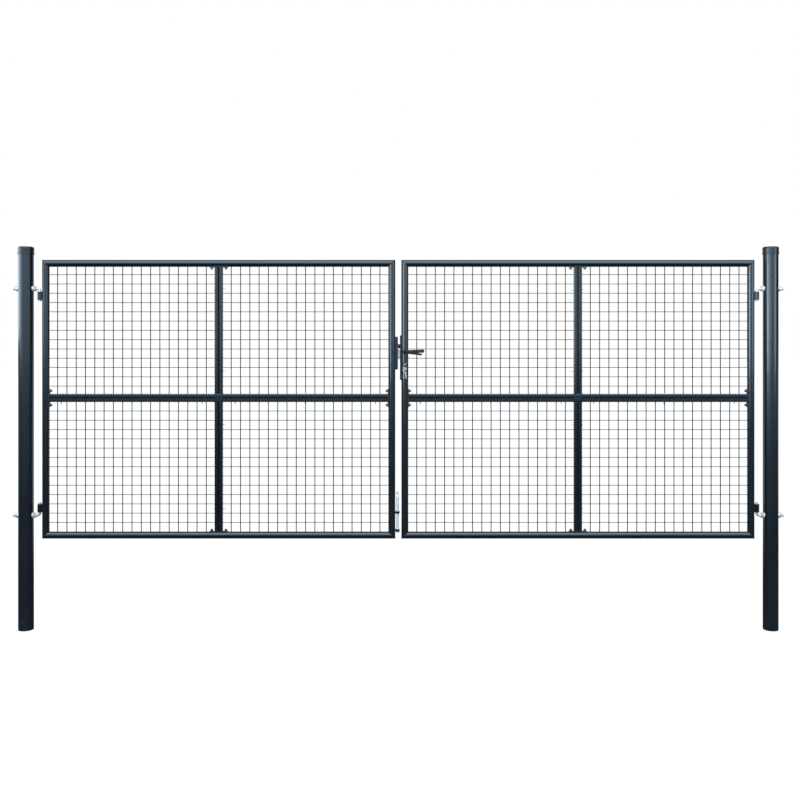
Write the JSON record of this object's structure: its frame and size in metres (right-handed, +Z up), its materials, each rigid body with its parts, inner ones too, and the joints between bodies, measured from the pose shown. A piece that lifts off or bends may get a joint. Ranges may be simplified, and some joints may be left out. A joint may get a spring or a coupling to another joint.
{
  "type": "double-leaf welded mesh gate",
  "caption": "Double-leaf garden gate of welded mesh in round-tube frames, hung between two round posts, with a lever lock and a drop bolt.",
  "frame": {"origin": "middle of the left post's foot", "axes": "+X along the gate to the right post, +Y into the garden, the way the leaves swing, +Z up"},
  "size_m": [4.144, 0.154, 2.06],
  "materials": {
    "anthracite_coat": "satin powder coat",
    "cap_plastic": "fine matt moulding",
    "zinc_plate": "bright zinc plating",
    "black_oxide": "black zinc",
    "black_coat": "semi-gloss black",
    "black_plastic": "semi-gloss black moulding",
    "nickel_plate": "satin nickel"
  },
  "bodies": {
    "root": {"left_post": "anthracite_coat", "left_post_cap": "cap_plastic", "left_upper_hinge_bolt": "zinc_plate", "left_lower_hinge_bolt": "zinc_plate", "left_hinge_nuts": "zinc_plate", "right_post": "anthracite_coat", "right_post_cap": "cap_plastic", "right_upper_hinge_bolt": "zinc_plate", "right_lower_hinge_bolt": "zinc_plate", "right_hinge_nuts": "zinc_plate"},
    "left_leaf": {"left_hinge_barrels": "anthracite_coat", "left_hinge_stile": "anthracite_coat", "left_meeting_stile": "anthracite_coat", "left_top_rail": "anthracite_coat", "left_bottom_rail": "anthracite_coat", "left_middle_rail": "anthracite_coat", "left_upper_muntin": "anthracite_coat", "left_lower_muntin": "anthracite_coat", "left_cross_bar_bolts": "black_oxide", "left_upper_outer_mesh": "anthracite_coat", "left_upper_inner_mesh": "anthracite_coat", "left_lower_outer_mesh": "anthracite_coat", "left_lower_inner_mesh": "anthracite_coat", "strike": "anthracite_coat", "drop_bolt_guides": "black_coat"},
    "right_leaf": {"right_hinge_barrels": "anthracite_coat", "right_hinge_stile": "anthracite_coat", "right_meeting_stile": "anthracite_coat", "right_top_rail": "anthracite_coat", "right_bottom_rail": "anthracite_coat", "right_middle_rail": "anthracite_coat", "right_upper_muntin": "anthracite_coat", "right_lower_muntin": "anthracite_coat", "right_cross_bar_bolts": "black_oxide", "right_upper_outer_mesh": "anthracite_coat", "right_upper_inner_mesh": "anthracite_coat", "right_lower_outer_mesh": "anthracite_coat", "right_lower_inner_mesh": "anthracite_coat", "lock_faceplate": "anthracite_coat", "lever_roses": "black_plastic", "lock_cylinder": "nickel_plate", "dead_bolt": "zinc_plate", "key": "nickel_plate", "key_ring": "nickel_plate", "spare_key": "nickel_plate", "second_spare_key": "nickel_plate"},
    "levers": {"front_lever": "black_plastic", "rear_lever": "black_plastic", "lever_spindle": "zinc_plate"},
    "latch": {"latch_bolt": "black_coat"},
    "drop_bolt": {"drop_bolt": "zinc_plate"}
  },
  "joints": [
    {"name": "left_leaf_swing", "type": "hinge", "parent": "root", "child": "left_leaf", "pos_m": [0.075, 0, 1], "axis": [0, 0, 1], "range_deg": [0, 100]},
    {"name": "right_leaf_swing", "type": "hinge", "parent": "root", "child": "right_leaf", "pos_m": [3.933, 0, 1], "axis": [0, 0, -1], "range_deg": [0, 100]},
    {"name": "lever_press", "type": "hinge", "parent": "right_leaf", "child": "levers", "pos_m": [2.039, 0, 1.493], "axis": [0, 1, 0], "range_deg": [0, 40], "stiffness_Nm_per_rad": 0.8, "springref_deg": -45.84},
    {"name": "latch_slide", "type": "slide", "parent": "right_leaf", "child": "latch", "axis": [1, 0, 0], "range_m": [0, 0.009]},
    {"name": "drop_bolt_slide", "type": "slide", "parent": "left_leaf", "child": "drop_bolt", "axis": [0, 0, -1], "range_m": [0, 0.07]}
  ],
  "couplings": [
    {"joint": "latch_slide", "follows": "lever_press", "m_per_rad": 0.01289}
  ]
}
